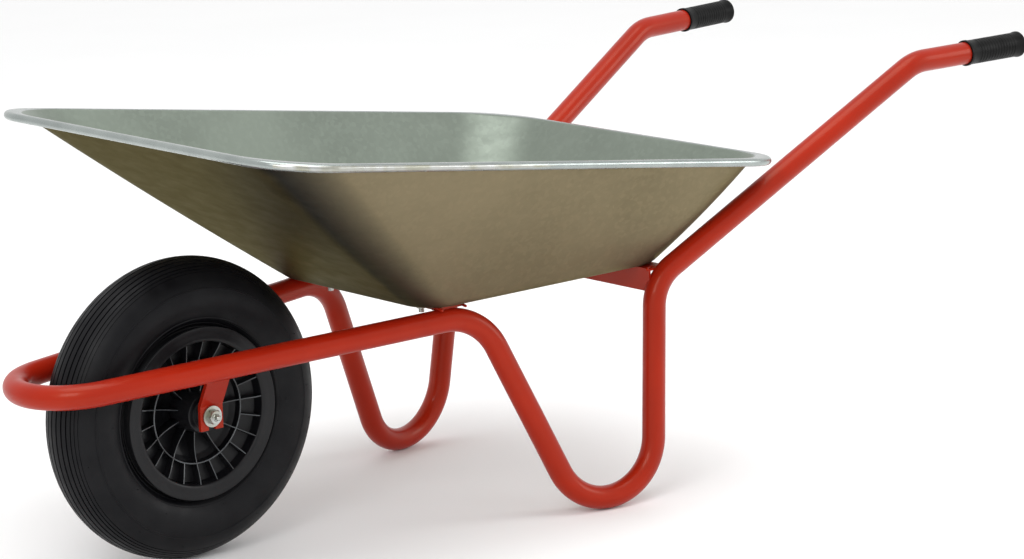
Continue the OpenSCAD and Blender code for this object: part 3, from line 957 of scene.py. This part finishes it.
# ---------------------------------------------------------------- the frame tube
# corners of the left half's centreline, measured from the point on the ground under the axle
TUBE_END = Vector((-1286.0, 305.0, 568.4)) * MM
GRIP_BEND = Vector((-1088.7, 286.2, 561.8)) * MM
REAR_BEND = Vector((-641.2, 217.3, 301.6)) * MM
LEG_APEX = Vector((-592.2, 255.8, -211.5)) * MM
FRONT_BEND = Vector((-367.9, 168.2, 292.4)) * MM
# half width and height of the two sides beside the axle
SIDE_Y = 106.6 * MM
SIDE_H = 272.1 * MM
NOSE_R = 79.2 * MM
TUBE_R = 16 * MM
TUBE_SIDES = 56


def half_width(back):
    """Half the distance between the two sides of the frame, at a distance behind the axle."""
    return SIDE_Y + (FRONT_BEND.y - SIDE_Y) * back / -FRONT_BEND.x


def foot_radius():
    """The bend radius that sets the underside of the foot on the ground."""
    into = (LEG_APEX - FRONT_BEND).normalized()
    away = (REAR_BEND - LEG_APEX).normalized()
    rise = (away - into).normalized().z / cos(into.angle(away) / 2)
    tilt = into.cross(away).normalized().z
    return (TUBE_R - LEG_APEX.z) / (rise - sqrt(1 - tilt ** 2))


def tube_corners():
    """The centreline's corners with their bend radii, from the left grip round to the right grip."""
    slope = (FRONT_BEND.z - SIDE_H) / -FRONT_BEND.x
    meeting_x = SIDE_Y * -FRONT_BEND.x / (FRONT_BEND.y - SIDE_Y)
    meeting = Vector((meeting_x, 0, SIDE_H - meeting_x * slope))
    left = [
        (TUBE_END, 0),
        (GRIP_BEND, 75 * MM),
        (REAR_BEND, 66 * MM),
        (LEG_APEX, foot_radius()),
        (FRONT_BEND, 80 * MM),
    ]
    right = [(Vector((v.x, -v.y, v.z)), radius) for v, radius in reversed(left)]
    ground = Vector((AXLE.x, 0, 0))
    return [(v + ground, radius) for v, radius in left + [(meeting, NOSE_R)] + right]


def bent_path(corners, step):
    """Points with tangents along straights and round bends, with a point for each step of turning."""
    points = [corners[0][0]]
    tangents = [(corners[1][0] - corners[0][0]).normalized()]
    for (a, _), (v, radius), (b, _) in zip(corners, corners[1:], corners[2:]):
        into = (v - a).normalized()
        away = (b - v).normalized()
        turn = into.angle(away)
        centre = v + (away - into).normalized() * radius / cos(turn / 2)
        start = v - into * radius * tan(turn / 2) - centre
        normal = into.cross(away).normalized()
        count = max(4, int(turn / step))
        for i in range(count + 1):
            spin = Matrix.Rotation(turn * i / count, 3, normal)
            points.append(centre + spin @ start)
            tangents.append(spin @ into)
    points.append(corners[-1][0])
    tangents.append((corners[-1][0] - corners[-2][0]).normalized())
    return points, tangents


def make_frame_tube():
    points, tangents = bent_path(tube_corners(), radians(3))
    x = tangents[0].orthogonal().normalized()
    verts = []
    for i, (point, tangent) in enumerate(zip(points, tangents)):
        if i:
            x = tangents[i - 1].rotation_difference(tangent) @ x
        x = (x - tangent * x.dot(tangent)).normalized()
        y = tangent.cross(x)
        for k in range(TUBE_SIDES):
            angle = 2 * pi * k / TUBE_SIDES
            verts.append(point + (x * cos(angle) + y * sin(angle)) * TUBE_R)
    faces = grid_faces(len(points), TUBE_SIDES)
    faces.append(list(range(TUBE_SIDES)))
    faces.append([(len(points) - 1) * TUBE_SIDES + k for k in range(TUBE_SIDES)])
    piece = add_object("frame_tube_bent", verts, faces, [RED])
    sharpen(piece, 60)
    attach(piece, "frame")
    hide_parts("frame_tube")


# ---------------------------------------------------------------- the grips
GRIP_DIR = (TUBE_END - GRIP_BEND).normalized()
GRIP_LENGTH = 105 * MM
GRIP_R = 17.75 * MM
GRIP_END_T = 4 * MM
LIP_R = 18.75 * MM
GROOVE_COUNT = 13
GROOVE_DEPTH = 0.55 * MM
CROWN_STEPS = 6
CROWN_W = 3 * MM
CROWN_H = 2 * MM


def grip_profile():
    """A sleeve with a lip at each end, ring grooves between them and a rounded, closed end."""
    outline = [(TUBE_R, 0), (LIP_R, 0), (LIP_R, 4 * MM), (GRIP_R, 5.5 * MM)]
    for i in range(GROOVE_COUNT):
        along = 18 * MM + i * (GRIP_LENGTH - 40 * MM) / (GROOVE_COUNT - 1)
        outline += [
            (GRIP_R, along - 1.3 * MM),
            (GRIP_R - GROOVE_DEPTH, along - 0.7 * MM),
            (GRIP_R - GROOVE_DEPTH, along + 0.7 * MM),
            (GRIP_R, along + 1.3 * MM),
        ]
    shoulder = GRIP_LENGTH - CROWN_H
    outline += [(GRIP_R, GRIP_LENGTH - 7 * MM), (LIP_R, GRIP_LENGTH - 5 * MM), (LIP_R, shoulder)]
    for i in range(1, CROWN_STEPS + 1):
        angle = pi / 2 * i / CROWN_STEPS
        outline.append((LIP_R - CROWN_W * (1 - cos(angle)), shoulder + CROWN_H * sin(angle)))
    seat = GRIP_LENGTH - GRIP_END_T
    return outline + [(0.5 * MM, GRIP_LENGTH), (0.5 * MM, seat), (TUBE_R, seat)]


def make_grip(side):
    sign = 1 if side == "left" else -1
    direction = Vector((GRIP_DIR.x, GRIP_DIR.y * sign, GRIP_DIR.z)).normalized()
    end = Vector((TUBE_END.x + AXLE.x, TUBE_END.y * sign, TUBE_END.z)) + direction * GRIP_END_T
    mouth = end - direction * GRIP_LENGTH
    verts, faces = turned(grip_profile(), on_line(mouth, direction), 72)
    piece = add_object("grip_sleeve_" + side, verts, faces, [GRIP])
    sharpen(piece, 40)
    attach(piece, "frame")
    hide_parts("grip_" + side)


# ---------------------------------------------------------------- weld beads
SCALE_L = 2.2 * MM
STEPS_PER_SCALE = 6
WELD_SIDES = 12
STRAP_BACK = 324 * MM
# the leg's middle where the channel meets it, as distances behind and beside the axle
CHANNEL_BACK = 644.5 * MM
CHANNEL_SIDE = 222.6 * MM
LEG_LEAN = 0.02
LEG_DIR = (-0.05, 0, 1)


def weld(name, path, radius=2.0 * MM):
    """A run of weld: a bead with the overlapping scales that a torch leaves."""
    points = [Vector(p) for p in path]
    lengths = [0.0]
    for a, b in zip(points, points[1:]):
        lengths.append(lengths[-1] + (b - a).length)
    total = lengths[-1]
    count = max(6, int(total / SCALE_L * STEPS_PER_SCALE))
    verts = []
    for k in range(count + 1):
        s = total * k / count
        i = max(j for j in range(len(points) - 1) if lengths[j] <= s + 1e-9)
        t = (s - lengths[i]) / (lengths[i + 1] - lengths[i])
        centre = points[i].lerp(points[i + 1], min(1, t))
        tangent = (points[i + 1] - points[i]).normalized()
        x = tangent.orthogonal().normalized()
        y = tangent.cross(x)
        phase = (s / SCALE_L) % 1.0
        end_taper = min(1.0, (min(s, total - s) + 0.4 * MM) / (1.6 * MM))
        swell = radius * (0.84 + 0.2 * sin(pi * phase) ** 0.6) * sqrt(end_taper)
        wobble = noise.noise(centre * 320) * 0.25 * MM
        for j in range(WELD_SIDES):
            angle = 2 * pi * j / WELD_SIDES
            verts.append(centre + (x * cos(angle) + y * sin(angle)) * (swell + wobble))
    faces = grid_faces(count + 1, WELD_SIDES)
    faces.append(list(range(WELD_SIDES)))
    faces.append([count * WELD_SIDES + j for j in range(WELD_SIDES)])
    piece = add_object(name, verts, faces, [RED])
    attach(piece, "frame")


def tube_arc(centre, direction, start, end, steps=14):
    """Points round the tube's surface, at angles measured from straight forward towards the left."""
    z = Vector(direction).normalized()
    x = (Vector((1, 0, 0)) - z * z.x).normalized()
    y = z.cross(x)
    out = []
    for i in range(steps + 1):
        angle = radians(start + (end - start) * i / steps)
        out.append(Vector(centre) + (x * cos(angle) + y * sin(angle)) * TUBE_R)
    return out


def weld_bracket(side, sign):
    low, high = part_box("axle_bracket_" + side)
    plate = max(abs(low[1]), abs(high[1])) * sign
    half = (high[0] - low[0]) / 2
    drop = sqrt(TUBE_R ** 2 - (SIDE_Y - abs(plate)) ** 2)
    under = ("low", plate, SIDE_H - drop)
    over = ("top", plate - 1.5 * MM * sign, high[2])
    for name, beside, height in (under, over):
        weld("weld_bracket_%s_%s" % (name, side), [
            (AXLE.x - half, beside, height),
            (AXLE.x, beside, height),
            (AXLE.x + half, beside, height),
        ])


def weld_strap(side, sign):
    low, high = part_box("front_cross_strap")
    beside = half_width(STRAP_BACK)
    height = (low[2] + high[2]) / 2
    for name, x in (("front", high[0]), ("rear", low[0])):
        weld("weld_strap_%s_%s" % (name, side), [
            (x, (beside - 13 * MM) * sign, height - 1.5 * MM),
            (x, beside * sign, height + 0.5 * MM),
            (x, (beside + 10 * MM) * sign, height - 1.0 * MM),
        ])


def weld_channel(side, sign):
    low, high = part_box("rear_cross_member")
    leg = Vector((AXLE.x - CHANNEL_BACK, CHANNEL_SIDE * sign, 0))
    for name, height in (("top", high[2] - 2 * MM), ("low", low[2] + 2 * MM)):
        centre = leg + Vector(((REAR_BEND.z - height) * LEG_LEAN, 0, height))
        arc = tube_arc(centre, LEG_DIR, 25 * -sign, 130 * -sign)
        weld("weld_channel_%s_%s" % (name, side), arc, 2.2 * MM)


def make_welds():
    for side, sign in (("left", 1), ("right", -1)):
        weld_bracket(side, sign)
        weld_strap(side, sign)
        weld_channel(side, sign)


# ---------------------------------------------------------------- camera, floor and light
def make_camera():
    azimuth = radians(40.229)
    pitch = radians(11.825)
    roll = radians(-1.362)
    forward = Vector((-sin(azimuth) * cos(pitch), -cos(azimuth) * cos(pitch), -sin(pitch)))
    right = Vector((-cos(azimuth), sin(azimuth), 0))
    up = right.cross(forward)
    turned_right = right * cos(roll) + up * sin(roll)
    turned_up = up * cos(roll) - right * sin(roll)
    camera = bpy.data.cameras.new("camera")
    camera.lens = 113.75
    camera.sensor_width = 36
    camera.clip_end = 50
    holder = bpy.data.objects.new("camera", camera)
    place = Vector((AXLE.x + 2.3164, 3.4109, 1.2184))
    axes = Matrix((turned_right, turned_up, -forward)).transposed()
    holder.matrix_world = Matrix.Translation(place) @ axes.to_4x4()
    bpy.context.scene.collection.objects.link(holder)
    bpy.context.scene.camera = holder


def make_floor():
    size = 20
    verts = [(x * size, y * size, -0.0005) for x in (-1, 1) for y in (-1, 1)]
    floor = add_object("floor", verts, [[0, 2, 3, 1]], [floor_paint()])


def area_light(name, place, target, size, power, color=(1, 1, 1)):
    light = bpy.data.lights.new(name, "AREA")
    light.shape = "RECTANGLE"
    light.size, light.size_y = size
    light.energy = power
    light.color = color
    holder = bpy.data.objects.new(name, light)
    holder.location = place
    holder.rotation_euler = (Vector(target) - Vector(place)).to_track_quat("-Z", "Y").to_euler()
    bpy.context.scene.collection.objects.link(holder)


def make_light():
    world = bpy.data.worlds.new("studio")
    world.use_nodes = True
    background = world.node_tree.nodes["Background"]
    background.inputs["Color"].default_value = (1.0, 1.0, 1.0, 1)
    background.inputs["Strength"].default_value = 1.0
    bpy.context.scene.world = world
    bpy.context.scene.view_settings.view_transform = "Standard"
    area_light("overhead", (0.2, 0.3, 3.6), (0, 0, 0.3), (3.2, 2.2), 60)
    area_light("front_left", (2.6, 1.6, 2.2), (0.1, 0, 0.3), (1.4, 1.4), 30)
    area_light("rear_left", (-2.8, 2.4, 1.6), (-0.2, 0, 0.4), (1.2, 1.6), 22)


make_camera()
make_floor()
make_light()
paint_cad()
make_tray()
make_tyre()
make_rim()
make_valve()
make_axle_bolt()
make_grip("left")
make_grip("right")
make_welds()
make_frame_tube()
